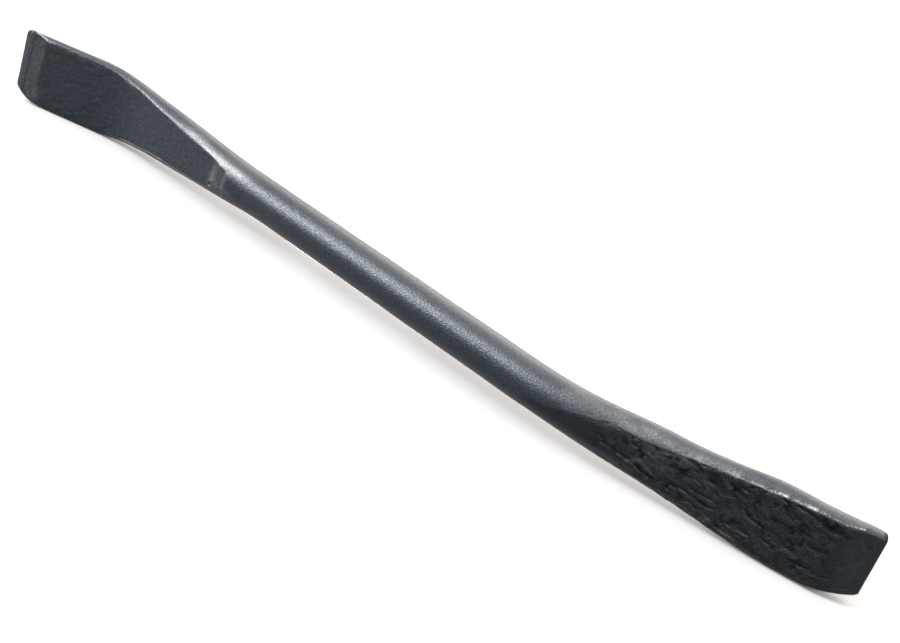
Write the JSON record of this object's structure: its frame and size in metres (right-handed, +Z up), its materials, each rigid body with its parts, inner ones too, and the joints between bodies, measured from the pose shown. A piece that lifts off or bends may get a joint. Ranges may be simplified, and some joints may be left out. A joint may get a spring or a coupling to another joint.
{
  "type": "pry bar",
  "caption": "double-ended forged pry bar: round shaft flattened into a thin bevelled chisel blade at one end and a thicker lipped spoon blade at the other, bent in opposite directions",
  "frame": {"origin": "centre of the overall box in x and y, on the floor plane the blades' lower edges rest on", "axes": "+X runs along the bar from the thin chisel blade to the thick lipped blade, +Z is up as the bar lies on its blade edges, the working faces of both blades look toward -Y"},
  "size_m": [0.3864, 0.0526, 0.0299],
  "materials": {
    "painted_steel": "blue-black textured paint over forged steel, semi-gloss",
    "paper": "white coated paper label with plain colour bands"
  },
  "bodies": {
    "root": {"forged_bar": "painted_steel", "label": "paper"}
  },
  "joints": []
}
